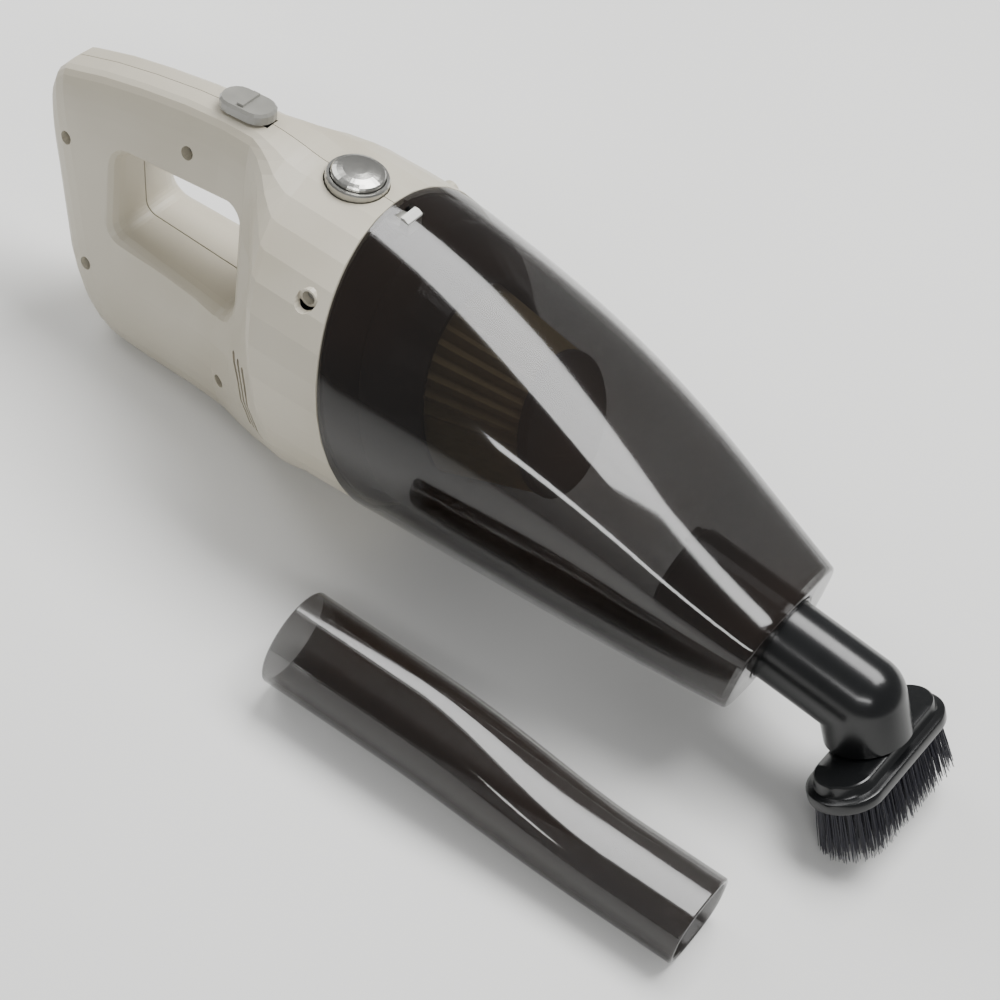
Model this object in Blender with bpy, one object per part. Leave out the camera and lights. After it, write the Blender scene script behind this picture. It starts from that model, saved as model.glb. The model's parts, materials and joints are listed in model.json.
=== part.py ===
"""Cordless handheld vacuum with a smoked dust cup, an elbow brush and a loose crevice nozzle.

Everything is modelled in the vacuum's own frame: the origin is the centre of the round joint
between housing and dust cup, +X runs to the nose, +Z to the switch side. One empty tips that
frame nose-up, so the bristle tips and the rear belly stand on Z = 0.
"""
import math

import bmesh
import bpy
from mathutils import Matrix, Vector

MM = 0.001
GAP = 0.3 * MM                      # clearance between touching pieces

# Pose of the vacuum on the surface it stands on
NOSE_UP = math.radians(8.14)
STAND_HEIGHT = 64.7 * MM            # joint centre above the surface
ORIGIN_SHIFT_X = -32.0 * MM         # puts the origin under the middle of the bounding box
ORIGIN_SHIFT_Y = 28.4 * MM

# Housing and cup
BELLY = -55 * MM
BELLY_DROP = 5.5 * MM               # how far the cup's underside falls by the nose
BELLY_DROP_START = 40 * MM
JOINT_LEAN = 0.25                   # the joint plane is x = -JOINT_LEAN * z
NOSE_X = 152 * MM
CUP_WALL = 2.0 * MM
HOUSING_WALL = 2.2 * MM
SEAM = 0.15 * MM
RING_POINTS = 36
HALF_RING_POINTS = 17

# Handle opening: corners in the XZ plane, rounded
OPENING_CORNERS = ((-124.7, 35.8), (-64.0, 38.0), (-58.4, -10.9), (-122.2, -2.4))
OPENING_RADIUS = 9 * MM
OPENING_WALL = 2.2 * MM
RIM_ROLL = 4.6 * MM                 # the rim flares out by this much on each face
RIM_DEPTH = 7 * MM
RIM_INSET = 3.8 * MM                # the narrowest part lies this far inside the corners
RIM_STEPS = 4

# Housing sections: station, lean, top, bottom, upper half width, lower half width, squareness
HOUSING_SECTIONS = (
    (0.0, 0.25, 55.0, -55.0, 55.0, 55.0, 2.0),
    (-15.0, 0.25, 57.0, -55.0, 54.8, 54.8, 2.0),
    (-28.0, 0.25, 58.4, -54.8, 54.2, 54.4, 2.0),
    (-30.5, 0.245, 58.8, -54.8, 52.2, 53.2, 2.1),
    (-34.0, 0.235, 59.5, -54.7, 46.0, 50.5, 2.3),
    (-39.0, 0.21, 60.5, -54.6, 38.0, 45.5, 2.7),
    (-46.0, 0.17, 61.5, -54.4, 29.0, 39.0, 3.2),
    (-53.0, 0.13, 62.3, -54.1, 23.0, 33.0, 4.0),
    (-60.0, 0.10, 62.8, -53.8, 19.5, 27.5, 4.8),
    (-72.0, 0.10, 63.0, -53.2, 18.4, 22.5, 5.2),
    (-88.0, 0.12, 62.2, -52.2, 18.0, 20.5, 5.2),
    (-105.0, 0.16, 60.0, -51.2, 17.8, 19.8, 5.2),
    (-118.0, 0.24, 57.2, -50.2, 17.6, 19.5, 5.2),
    (-127.3, 0.31, 54.2, -49.0, 17.4, 19.5, 5.2),
)
HANDLE_END_RADIUS = 17 * MM
HANDLE_END_TOP_DROP = 25 * MM
HANDLE_END_STEPS = 5
HANDLE_END_NARROWING = 6 * MM
HANDLE_DRAFT = 0.11                 # the flat sides close in towards the top
DRAFT_START = -29 * MM
DRAFT_FULL = -60 * MM

# Cup: the top line falls in a parabola, the plan width in another
CUP_TOP = (51.8, -0.27, -0.00158)
CUP_WIDTH = (55.0, -0.085, -0.00052)
CUP_SQUARENESS = 1.6
CUP_STATIONS = (0.15, 8, 20, 36, 54, 72, 90, 108, 124, 138, 147, 152)

# Nose tube and brush
TUBE_Z = -41.4 * MM                 # the tube's axis where it leaves the nose
NOZZLE_DROOP = math.radians(12)     # the tube points down from the vacuum's axis by this
NOSE_LEAN_START = 90 * MM
TUBE_RADIUS = 15.1 * MM
TUBE_WALL = 2.0 * MM
SLEEVE_RADIUS = 16.6 * MM
SLEEVE_BORE = 15.45 * MM
SLEEVE_START = 112 * MM
TUBE_START = 124 * MM
O_RING_X = 134 * MM
ELBOW_X = 185 * MM                  # where the two tube axes meet
ELBOW_RADIUS = 15.4 * MM            # the ball that rounds the corner
ELBOW_ANGLE = math.radians(57)
DOWN_LENGTH = 14.5 * MM
PLATE_LENGTH = 67 * MM
PLATE_FORWARD = 2 * MM             # plate and bristles sit this far ahead of the tube
PLATE_WIDTH = 27 * MM
PLATE_HEIGHT = 9 * MM
BRISTLE_LENGTH = 19 * MM

# Loose crevice nozzle
NOZZLE_LENGTH = 162 * MM
NOZZLE_RADIUS = 17.35 * MM
NOZZLE_WALL = 1.8 * MM
NOZZLE_REAR = (29.6 * MM, -94.4 * MM)
NOZZLE_YAW = math.radians(1.5)

# Screws: x, z and the side face they sit under is worked out from the housing
SCREWS = (("handle_rear_top", -143.2, 28.0), ("handle_top", -90.2, 45.9),
          ("handle_rear_bottom", -129.5, -16.6), ("handle_front_bottom", -64.5, -32.6),
          ("barrel", -17.6, 37.0))
SINK_RADIUS = 2.5 * MM
BARREL_SINK_RADIUS = 3.9 * MM
BOSS_RADIUS = 3.3 * MM
SCREW_DEPTH = 5.5 * MM
HEAD_RADIUS = 2.1 * MM
SHANK_RADIUS = 1.2 * MM

# Controls
SWITCH_X = -75.3 * MM
SWITCH_LENGTH = 21.6 * MM
SWITCH_WIDTH = 12.7 * MM
SWITCH_TOP = 67.4 * MM
HANDLE_TOP = 63.0 * MM
BUTTON_X = -29.2 * MM
BUTTON_Z = 57.0 * MM
BUTTON_LEAN = math.radians(6.7)
BUTTON_RADIUS = 9.4 * MM
LATCH_PIVOT_X = -45 * MM
LATCH_PIVOT_Z = 46 * MM

# Motor and fan
MOTOR_Z = -2 * MM
MOTOR_RADIUS = 14.5 * MM
MOTOR_FRONT = -27 * MM
MOTOR_REAR = -55 * MM
FAN_RADIUS = 27 * MM
SHROUD_RADIUS = 30 * MM

# Filter
HOLDER_FLANGE_X = 12.5 * MM
HOLDER_FLANGE_RADIUS = 48.7 * MM
PLEAT_COUNT = 34
PLEAT_START = 19 * MM
PLEAT_END = 58.4 * MM

# Cells
CELL_RADIUS = 9.1 * MM
CELL_LENGTH = 50 * MM
CELL_START = -122 * MM
CELL_Z = -30 * MM
SOCKET_Z = 8 * MM


def clear_scene():
    for obj in list(bpy.data.objects):
        bpy.data.objects.remove(obj, do_unlink=True)


def material(name, color, roughness, metallic=0.0, alpha=1.0):
    mat = bpy.data.materials.get(name)
    if mat:
        return mat
    mat = bpy.data.materials.new(name)
    mat.use_nodes = True
    shader = mat.node_tree.nodes["Principled BSDF"]
    shader.inputs["Base Color"].default_value = (*color, 1.0)
    shader.inputs["Roughness"].default_value = roughness
    shader.inputs["Metallic"].default_value = metallic
    shader.inputs["Alpha"].default_value = alpha
    return mat


def cream_plastic():
    return material("cream_plastic", (0.66, 0.62, 0.53), 0.42)


def smoked_plastic():
    return material("smoked_plastic", (0.10, 0.07, 0.055), 0.08, alpha=0.4)


def black_plastic():
    return material("black_plastic", (0.012, 0.012, 0.013), 0.22)


def matte_black_plastic():
    return material("matte_black_plastic", (0.02, 0.02, 0.022), 0.55)


def white_plastic():
    return material("white_plastic", (0.82, 0.82, 0.80), 0.35)


def switch_plastic():
    return material("switch_plastic", (0.32, 0.32, 0.31), 0.2)


def silver_plastic():
    return material("silver_plastic", (0.62, 0.62, 0.60), 0.18, 0.9)


def pleat_paper():
    return material("pleat_paper", (0.42, 0.34, 0.20), 0.85)


def bristle_nylon():
    return material("bristle_nylon", (0.015, 0.015, 0.028), 0.5)


def steel():
    return material("steel", (0.55, 0.55, 0.55), 0.3, 1.0)


def rubber():
    return material("rubber", (0.03, 0.03, 0.03), 0.75)


def board_green():
    return material("board_green", (0.03, 0.17, 0.07), 0.5)


def cell_wrap():
    return material("cell_wrap", (0.05, 0.16, 0.42), 0.35)


def wire_red():
    return material("wire_red", (0.5, 0.02, 0.02), 0.5)


def wire_black():
    return material("wire_black", (0.02, 0.02, 0.02), 0.5)


def make_frame():
    frame = bpy.data.objects.new("vacuum_frame", None)
    frame.rotation_euler = (0.0, -NOSE_UP, 0.0)
    frame.location = (ORIGIN_SHIFT_X, ORIGIN_SHIFT_Y, STAND_HEIGHT)
    bpy.context.collection.objects.link(frame)
    return frame


def make_nozzle_frame(frame):
    """Turned about the tube's axis point in the nose, so that tube and duct droop together."""
    nozzle = bpy.data.objects.new("nozzle_frame", None)
    pivot = Vector((NOSE_X, 0, TUBE_Z))
    nozzle.rotation_euler = (0.0, NOZZLE_DROOP, 0.0)
    nozzle.location = pivot - Matrix.Rotation(NOZZLE_DROOP, 3, "Y") @ pivot
    nozzle.parent = frame
    bpy.context.collection.objects.link(nozzle)
    return nozzle


def add_object(name, bm, mat, parent, smooth=40.0, location=(0, 0, 0), turn=(0, 0, 0)):
    bmesh.ops.recalc_face_normals(bm, faces=bm.faces[:])
    mesh = bpy.data.meshes.new(name)
    bm.to_mesh(mesh)
    bm.free()
    mesh.shade_smooth()
    mesh.set_sharp_from_angle(angle=math.radians(smooth))
    obj = bpy.data.objects.new(name, mesh)
    obj.location = location
    obj.rotation_euler = turn
    bpy.context.collection.objects.link(obj)
    obj.parent = parent
    if mat:
        mesh.materials.append(mat)
    return obj


def add_cutter(name, bm, parent, location=(0, 0, 0), turn=(0, 0, 0)):
    obj = add_object(name, bm, None, parent, location=location, turn=turn)
    obj.hide_render = True
    obj.display_type = "WIRE"
    return obj


def boolean(obj, cutter, operation="DIFFERENCE"):
    modifier = obj.modifiers.new(cutter.name, "BOOLEAN")
    modifier.operation = operation
    modifier.solver = "EXACT"
    modifier.object = cutter


def bridge_rings(bm, rings, close_start=True, close_end=True):
    """Quads between equal closed rings of points, with flat end caps."""
    loops = [[bm.verts.new(point) for point in ring] for ring in rings]
    for near, far in zip(loops, loops[1:]):
        for i in range(len(near)):
            j = (i + 1) % len(near)
            bm.faces.new((near[i], near[j], far[j], far[i]))
    if close_start:
        bm.faces.new(list(reversed(loops[0])))
    if close_end:
        bm.faces.new(loops[-1])
    return loops


def solid_of_rings(rings):
    bm = bmesh.new()
    bridge_rings(bm, rings)
    bmesh.ops.triangulate(bm, faces=bm.faces[:])
    return bm


def box(x0, x1, y0, y1, z0, z1):
    bm = bmesh.new()
    size = Vector((x1 - x0, y1 - y0, z1 - z0))
    middle = Vector(((x0 + x1) / 2, (y0 + y1) / 2, (z0 + z1) / 2))
    bmesh.ops.create_cube(bm, size=1.0, matrix=Matrix.Translation(middle) @ Matrix.Diagonal((*size, 1)))
    return bm


def turned(profile, axis="X", steps=32, lean=0.0, phase=0.0):
    """A closed profile of (along, radius) pairs turned about an axis, then leaned over."""
    bm = bmesh.new()
    ring_count = len(profile)
    columns = []
    for i in range(steps):
        angle = 2 * math.pi * (i + phase) / steps
        column = []
        for along, radius in profile:
            a, b = radius * math.cos(angle), radius * math.sin(angle)
            point = Vector((along, a, b)) if axis == "X" else Vector((a, b, along))
            if axis == "Y":
                point = Vector((a, along, b))
            point.x -= lean * point.z
            column.append(point)
        columns.append(column)
    on_axis = [profile[j][1] < 1e-9 for j in range(ring_count)]
    shared = [bm.verts.new(columns[0][j]) if on_axis[j] else None for j in range(ring_count)]
    verts = [[shared[j] or bm.verts.new(column[j]) for j in range(ring_count)] for column in columns]
    for i in range(steps):
        k = (i + 1) % steps
        for j in range(ring_count):
            m = (j + 1) % ring_count
            if on_axis[j] and on_axis[m]:
                continue
            corners = [verts[i][j], verts[k][j], verts[k][m], verts[i][m]]
            unique = list(dict.fromkeys(corners))
            if len(unique) > 2:
                bm.faces.new(unique)
    return bm


def extruded(outline, y0, y1):
    """An outline of (x, z) points pushed along Y."""
    rings = [[Vector((x, y, z)) for x, z in outline] for y in (y0, y1)]
    return solid_of_rings(rings)


def rounded_outline(corners, radius, grow=0.0, steps=5):
    """A polygon with round corners; grow moves every side outwards."""
    points = [Vector(corner) for corner in corners]
    count = len(points)
    area = sum(points[i].x * points[(i + 1) % count].y - points[(i + 1) % count].x * points[i].y
               for i in range(count))
    turn = 1.0 if area > 0 else -1.0
    outline = []
    for i in range(count):
        before, here, after = points[i - 1], points[i], points[(i + 1) % count]
        into = (here - before).normalized()
        out = (after - here).normalized()
        left_in = Vector((-into.y, into.x)) * turn
        left_out = Vector((-out.y, out.x)) * turn
        half = math.acos(max(-1.0, min(1.0, into.dot(out)))) / 2
        bisector = (left_in + left_out).normalized()
        centre = here + bisector * (radius / math.cos(half))
        start = math.atan2(-left_in.y, -left_in.x)
        sweep = 2 * half * turn
        for step in range(steps + 1):
            angle = start + sweep * step / steps
            outline.append(centre + Vector((math.cos(angle), math.sin(angle))) * (radius + grow))
    return [(point.x, point.y) for point in outline]


def stadium(length, width, steps=8):
    """A slot outline about the origin, long way along the first axis."""
    radius = width / 2
    straight = length / 2 - radius
    points = []
    for side in (1, -1):
        for step in range(steps + 1):
            angle = -math.pi / 2 + math.pi * step / steps
            points.append((side * (straight + radius * math.cos(angle)), side * radius * math.sin(angle)))
    return points


def smoothstep(value):
    value = min(1.0, max(0.0, value))
    return value * value * (3 - 2 * value)


def superellipse(angle, squareness):
    c, s = math.cos(angle), math.sin(angle)
    power = 2 / squareness
    return math.copysign(abs(c) ** power, c), math.copysign(abs(s) ** power, s)


def housing_rows():
    rows = [(r[0] * MM, r[1], r[2] * MM, r[3] * MM, r[4] * MM, r[5] * MM, r[6]) for r in HOUSING_SECTIONS]
    x, lean, top, bottom, upper, lower, square = rows[-1]
    for step in range(1, HANDLE_END_STEPS + 1):
        angle = math.pi / 2 * step / HANDLE_END_STEPS
        shrink = 1 - math.cos(angle)
        rows.append((x - HANDLE_END_RADIUS * math.sin(angle), lean,
                     top - HANDLE_END_TOP_DROP * shrink, bottom + HANDLE_END_RADIUS * shrink,
                     upper - HANDLE_END_NARROWING * shrink, lower - HANDLE_END_NARROWING * shrink,
                     square))
    return rows


def housing_row_at(station):
    rows = housing_rows()
    for near, far in zip(rows, rows[1:]):
        if near[0] >= station >= far[0]:
            share = (near[0] - station) / (near[0] - far[0])
            return tuple(a + (b - a) * share for a, b in zip(near, far))
    return rows[0] if station > 0 else rows[-1]


def housing_half_width(row, z):
    """Half width of a housing section at a height, before its edges are rounded."""
    station, upper, lower = row[0], row[4], row[5]
    high = smoothstep((z + 25 * MM) / (40 * MM))
    draft = HANDLE_DRAFT * min(1.0, max(0.0, (DRAFT_START - station) / (DRAFT_START - DRAFT_FULL)))
    return lower + (upper - lower) * high - draft * (max(z, -10 * MM) - 10 * MM)


def half_ring(row, side, inset=0.0):
    """One side of a housing section, from the belly seam round to the top seam."""
    station, lean, top, bottom, square = row[0], row[1], row[2], row[3], row[6]
    middle, half = (top + bottom) / 2, (top - bottom) / 2 - inset
    ring = []
    for i in range(HALF_RING_POINTS + 1):
        across, up = superellipse(math.pi * (i / HALF_RING_POINTS - 0.5), square)
        z = middle + half * up
        y = max(SEAM, (housing_half_width(row, z) - inset) * abs(across))
        ring.append(Vector((station - lean * z, side * y, z)))
    return ring


def half_shell(outer, inner):
    """A half shell: outer and inner half rings, open at the joint, closed at the handle's end."""
    bm = bmesh.new()
    skin = [[bm.verts.new(point) for point in ring] for ring in outer]
    liner = [[bm.verts.new(point) for point in ring] for ring in inner]
    last = len(skin[0]) - 1
    for loops in (skin, liner):
        for near, far in zip(loops, loops[1:]):
            for i in range(last):
                bm.faces.new((near[i], near[i + 1], far[i + 1], far[i]))
        bm.faces.new(loops[-1])
    for i in range(last):
        bm.faces.new((skin[0][i], skin[0][i + 1], liner[0][i + 1], liner[0][i]))
    for row in range(len(skin) - 1):
        for i in (0, last):
            bm.faces.new((skin[row][i], skin[row + 1][i], liner[row + 1][i], liner[row][i]))
    bm.faces.new((skin[-1][0], skin[-1][last], liner[-1][last], liner[-1][0]))
    bmesh.ops.triangulate(bm, faces=bm.faces[:])
    return bm


def housing_side(x, z):
    """Half width of the finished housing surface at a point of the side view."""
    station = x
    for _ in range(6):
        station = x + housing_row_at(station)[1] * z
    row = housing_row_at(station)
    middle, half = (row[2] + row[3]) / 2, (row[2] - row[3]) / 2
    share = min(1.0, abs((z - middle) / half))
    return housing_half_width(row, z) * (1 - share ** row[6]) ** (1 / row[6])


def shifted(row, distance):
    return (row[0] + distance, *row[1:])


def make_housing(frame):
    rows = housing_rows()
    corners = [(x * MM, z * MM) for x, z in OPENING_CORNERS]
    wall = rounded_outline(corners, OPENING_RADIUS, OPENING_WALL)
    tunnel = add_cutter("opening_cutter", opening_tunnel(corners), frame)
    halves = []
    for name, side in (("housing_right", -1), ("housing_left", 1)):
        outer = [half_ring(shifted(rows[0], -SEAM), side), *(half_ring(row, side) for row in rows[1:])]
        inner = [half_ring(shifted(rows[0], -SEAM), side, HOUSING_WALL),
                 *(half_ring(row, side, HOUSING_WALL) for row in rows[1:-1]),
                 half_ring(shifted(rows[-1], HOUSING_WALL), side, HOUSING_WALL)]
        half = add_object(name, half_shell(outer, inner), cream_plastic(), frame, smooth=32)
        make_bosses(half, side, frame)
        boolean(half, add_cutter(name + "_opening_wall", opening_wall(wall, side), frame), "UNION")
        boolean(half, tunnel)
        make_vents(half, side, frame)
        halves.append(half)
    make_top_openings(halves, frame)


def opening_tunnel(corners):
    """The way through the handle: a soft rim on both sides, narrower in the middle."""
    rings = []
    for side in (-1, 1):
        steps = [(62 * MM, RIM_ROLL, False)]
        steps += [(RIM_DEPTH * (math.sin(a) - 1) + 0.4 * MM, RIM_ROLL * (1 - math.cos(a)), True)
                  for a in (math.pi / 2 * i / RIM_STEPS for i in range(RIM_STEPS, -1, -1))]
        loops = []
        for depth, grow, follows in steps:
            outline = rounded_outline(corners, OPENING_RADIUS, grow - RIM_INSET)
            loops.append([Vector((x, side * (depth + (housing_side(x, z) if follows else 0)), z)) for x, z in outline])
        rings += loops if side < 0 else loops[::-1]
    return solid_of_rings(rings)


def opening_wall(outline, side):
    """The wall round the handle opening, reaching into the drafted side skin at every point."""
    rings = [[Vector((x, side * 2 * SEAM, z)) for x, z in outline],
             [Vector((x, side * (housing_side(x, z) - 1.1 * MM), z)) for x, z in outline]]
    return solid_of_rings(rings)


def make_bosses(half, side, frame):
    """Screw posts: through and countersunk on the right, blind on the left."""
    bore = 1.55 * MM
    for name, x, z in SCREWS:
        x, z = x * MM, z * MM
        surface = housing_side(x, z)
        root = surface - 1.2 * MM
        post = [(2 * SEAM, bore), (2 * SEAM, BOSS_RADIUS), (root, BOSS_RADIUS)]
        post += [(root, bore)] if side < 0 else [(root, 0), (9.5 * MM, 0), (9.5 * MM, bore)]
        boss = turned(post, "Y", 14, phase=0.3)
        bmesh.ops.scale(boss, vec=(1, side, 1), verts=boss.verts)
        boolean(half, add_cutter(half.name + "_boss_" + name, boss, frame, (x, 0, z)), "UNION")
        if side < 0:
            wide = BARREL_SINK_RADIUS if name == "barrel" else SINK_RADIUS + 0.05 * MM
            sink = turned([(surface - SCREW_DEPTH, 0), (surface - SCREW_DEPTH, SINK_RADIUS),
                           (surface - 1.3 * MM, SINK_RADIUS), (surface - 1.3 * MM, wide),
                           (surface + 15 * MM, wide), (surface + 15 * MM, 0)], "Y", 16, phase=0.5)
            bmesh.ops.scale(sink, vec=(1, -1, 1), verts=sink.verts)
            boolean(half, add_cutter("sink_" + name, sink, frame, (x, 0, z)))


def make_vents(half, side, frame):
    for i in range(3):
        slot = [Vector((a, 0, b)) for a, b in stadium(25 * MM, 1.7 * MM, 4)]
        turn = Matrix.Rotation(math.radians(54), 4, "Y")
        middle = Vector(((-48.4 + 3.9 * i) * MM, 0, -22 * MM))
        rings = [[turn @ p + middle + Vector((0, side * y, 0)) for p in slot] for y in (12 * MM, 60 * MM)]
        boolean(half, add_cutter(half.name + "_vent_%d" % (i + 1), solid_of_rings(rings), frame))


def make_top_openings(halves, frame):
    slot = box(SWITCH_X - 5.5 * MM, SWITCH_X + 10.5 * MM, -3 * MM, 3 * MM, 57 * MM, 70 * MM)
    cutters = [add_cutter("switch_slot_cutter", slot, frame)]
    hole = turned([(-9 * MM, 0), (-9 * MM, 11.4 * MM), (12 * MM, 11.4 * MM), (12 * MM, 0)], "Z", 32)
    cutters.append(add_cutter("button_hole_cutter", hole, frame, (BUTTON_X, 0, BUTTON_Z), (0, BUTTON_LEAN, 0)))
    socket = turned([(-160 * MM, 0), (-160 * MM, 4.4 * MM), (-139 * MM, 4.4 * MM), (-139 * MM, 0)], "X", 20)
    cutters.append(add_cutter("socket_hole_cutter", socket, frame, (0, 0, SOCKET_Z)))
    for half in halves:
        for cutter in cutters:
            boolean(half, cutter)


def cup_point(station, angle, inset=0.0):
    """A point of the cup's surface; the station's plane leans like the joint and straightens."""
    lean = JOINT_LEAN * max(0.0, 1 - station / (70 * MM))
    tip = math.tan(NOZZLE_DROOP) * smoothstep((station - NOSE_LEAN_START) / (NOSE_X - NOSE_LEAN_START))
    x = station
    for _ in range(8):
        millimetres = x / MM
        top = (CUP_TOP[0] + CUP_TOP[1] * millimetres + CUP_TOP[2] * millimetres ** 2) * MM
        fall = max(0.0, (x - BELLY_DROP_START) / (NOSE_X - BELLY_DROP_START))
        belly = BELLY - BELLY_DROP * fall ** 2
        width = (CUP_WIDTH[0] + CUP_WIDTH[1] * max(0.0, millimetres)
                 + CUP_WIDTH[2] * millimetres ** 2) * MM
        square = 2 + CUP_SQUARENESS * max(0.0, x / NOSE_X) ** 1.5
        across, up = superellipse(angle, square)
        z = (top + belly) / 2 + ((top - belly) / 2 - inset) * up
        x = station - lean * z + tip * (z - TUBE_Z)
    return Vector((x, (width - inset) * across, z))


def cup_ring(station, inset=0.0):
    return [cup_point(station, 2 * math.pi * i / RING_POINTS, inset) for i in range(RING_POINTS)]


def make_dust_cup(frame, nozzle):
    outer = [cup_ring(station * MM) for station in CUP_STATIONS]
    inner_stations = [*CUP_STATIONS[:-1], NOSE_X / MM - 2.6]
    inner = [cup_ring(station * MM, CUP_WALL) for station in sorted(inner_stations)]
    bm = bmesh.new()
    shell = bridge_rings(bm, outer, close_start=False)
    liner = bridge_rings(bm, inner, close_start=False)
    for i in range(RING_POINTS):
        j = (i + 1) % RING_POINTS
        bm.faces.new((shell[0][i], shell[0][j], liner[0][j], liner[0][i]))
    cup = add_object("dust_cup", bm, smoked_plastic(), frame, smooth=30)
    bore_radius = SLEEVE_RADIUS + GAP
    bore = turned([(NOSE_X - 11 * MM, 0), (NOSE_X - 11 * MM, bore_radius), (NOSE_X + 4 * MM, bore_radius),
                   (NOSE_X + 4 * MM, 0)], "X", 32)
    boolean(cup, add_cutter("cup_bore_cutter", bore, nozzle, (0, 0, TUBE_Z)))
    slot = box(-8.6 * MM, -4.4 * MM, -4.6 * MM, 4.6 * MM, 44 * MM, 64 * MM)
    boolean(cup, add_cutter("latch_slot_cutter", slot, frame))
    groove = box(-22 * MM, -8 * MM, -4.6 * MM, 4.6 * MM, 44 * MM, 54.25 * MM)
    boolean(cup, add_cutter("latch_groove_cutter", groove, frame))


def make_intake(frame):
    start, end = SLEEVE_START, NOSE_X + 0.2 * MM
    profile = [(start, SLEEVE_BORE + 0.1 * MM), (start + 1.5 * MM, SLEEVE_RADIUS - 0.4 * MM),
               (end, SLEEVE_RADIUS - 0.4 * MM), (end, SLEEVE_BORE), (start + 0.5 * MM, SLEEVE_BORE)]
    add_object("intake_duct", turned(profile, "X", 28), black_plastic(), frame, location=(0, 0, TUBE_Z))
    flap = turned([(-1.2 * MM, 0), (-1.2 * MM, 14.8 * MM), (0, 14.8 * MM), (0, 0)], "X", 24)
    tab = add_object("flap_valve", flap, rubber(), frame, location=(SLEEVE_START - GAP, 0, TUBE_Z))
    hinge = turned([(-3.4 * MM, 0), (-3.4 * MM, 1.4 * MM), (3.4 * MM, 1.4 * MM), (3.4 * MM, 0)], "Y", 10)
    knuckle = add_cutter("flap_knuckle", hinge, frame,
                         (SLEEVE_START - GAP - 1.4 * MM, 0, TUBE_Z + 15.2 * MM))
    boolean(tab, knuckle, "UNION")


def elbow_direction():
    return Vector((math.cos(ELBOW_ANGLE), 0, -math.sin(ELBOW_ANGLE)))


def elbow_parts(frame, name, radius, ball, reach):
    """Level tube, ball and down tube as three bodies; reach lengthens both tubes."""
    corner = (ELBOW_X, 0, TUBE_Z)
    profile = [(radius_along, ball * math.sin(a)) for a, radius_along in
               ((math.pi * i / 12, -ball * math.cos(math.pi * i / 12)) for i in range(13))]
    profile = [(along, 0 if r < 1e-9 else r) for along, r in profile]
    globe = add_cutter(name + "_ball", turned(profile, "X", 26), frame, corner)
    down = turned([(-DOWN_LENGTH - reach, 0), (-DOWN_LENGTH - reach, radius), (-0.5 * MM, radius), (-0.5 * MM, 0)], "Z", 26)
    leg = add_cutter(name + "_leg", down, frame, corner, (0, ELBOW_ANGLE - math.pi / 2, 0))
    return globe, leg


def make_brush(frame):
    bore = TUBE_RADIUS - TUBE_WALL
    seat = 1.15 * MM                                  # half width of the O-ring's groove
    profile = [(TUBE_START, 0), (TUBE_START, TUBE_RADIUS - 1.3 * MM), (TUBE_START + 1.5 * MM, TUBE_RADIUS),
               (O_RING_X - seat, TUBE_RADIUS), (O_RING_X - seat, TUBE_RADIUS - 1.1 * MM),
               (O_RING_X + seat, TUBE_RADIUS - 1.1 * MM), (O_RING_X + seat, TUBE_RADIUS),
               (ELBOW_X, TUBE_RADIUS), (ELBOW_X, 0)]
    elbow = add_object("brush_elbow", turned(profile, "X", 26), black_plastic(), frame, location=(0, 0, TUBE_Z))
    for part in elbow_parts(frame, "elbow", TUBE_RADIUS, ELBOW_RADIUS, 0):
        boolean(elbow, part, "UNION")
    level = turned([(TUBE_START - 5 * MM, 0), (TUBE_START - 5 * MM, bore), (ELBOW_X + 0.5 * MM, bore),
                    (ELBOW_X + 0.5 * MM, 0)], "X", 22, phase=0.5)
    boolean(elbow, add_cutter("elbow_bore", level, frame, (0, 0, TUBE_Z)))
    for part in elbow_parts(frame, "elbow_bore", bore, bore + 0.2 * MM, 5 * MM):
        boolean(elbow, part)
    ring = turned([(-0.9 * MM, TUBE_RADIUS - 0.8 * MM), (-0.9 * MM, TUBE_RADIUS + 0.1 * MM),
                   (0.9 * MM, TUBE_RADIUS + 0.1 * MM), (0.9 * MM, TUBE_RADIUS - 0.8 * MM)], "X", 24)
    add_object("elbow_o_ring", ring, rubber(), frame, location=(O_RING_X, 0, TUBE_Z))
    make_brush_head(frame)


def make_brush_head(frame):
    direction = elbow_direction()
    centre = Vector((ELBOW_X, 0, TUBE_Z)) + direction * DOWN_LENGTH
    turn = (0, ELBOW_ANGLE - math.pi / 2, 0)          # local -Z runs down the tube
    seat = centre + direction * GAP
    layers = ((0, 0.80), (-1.2 * MM, 0.88), (-4.5 * MM, 0.88), (-4.5 * MM, 1.0), (-PLATE_HEIGHT, 1.0))
    rings = []
    for z, share in layers:
        grow = (share - 1) * PLATE_WIDTH
        rings.append([Vector((b + PLATE_FORWARD, a, z)) for a, b in stadium(PLATE_LENGTH + grow, PLATE_WIDTH + grow)])
    plate = add_object("brush_plate", solid_of_rings(rings), black_plastic(), frame, location=seat, turn=turn)
    hole = turned([(-20 * MM, 0), (-20 * MM, 8 * MM), (5 * MM, 8 * MM), (5 * MM, 0)], "Z", 24)
    boolean(plate, add_cutter("brush_hole_cutter", hole, frame, seat, turn))
    low = seat + direction * (PLATE_HEIGHT + GAP)
    pad = [[Vector((b + PLATE_FORWARD, a, z)) for a, b in stadium(PLATE_LENGTH - 4 * MM + flare, PLATE_WIDTH - 4 * MM + flare)]
           for z, flare in ((0, 0), (-BRISTLE_LENGTH, 3 * MM))]
    bristles = add_object("brush_bristles", solid_of_rings(pad), bristle_nylon(), frame, location=low, turn=turn)
    core = [[Vector((b + PLATE_FORWARD, a, z)) for a, b in stadium(PLATE_LENGTH - 18 * MM, PLATE_WIDTH - 18 * MM)]
            for z in (5 * MM, -BRISTLE_LENGTH - 5 * MM)]
    boolean(bristles, add_cutter("bristle_core_cutter", solid_of_rings(core), frame, low, turn))


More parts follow.
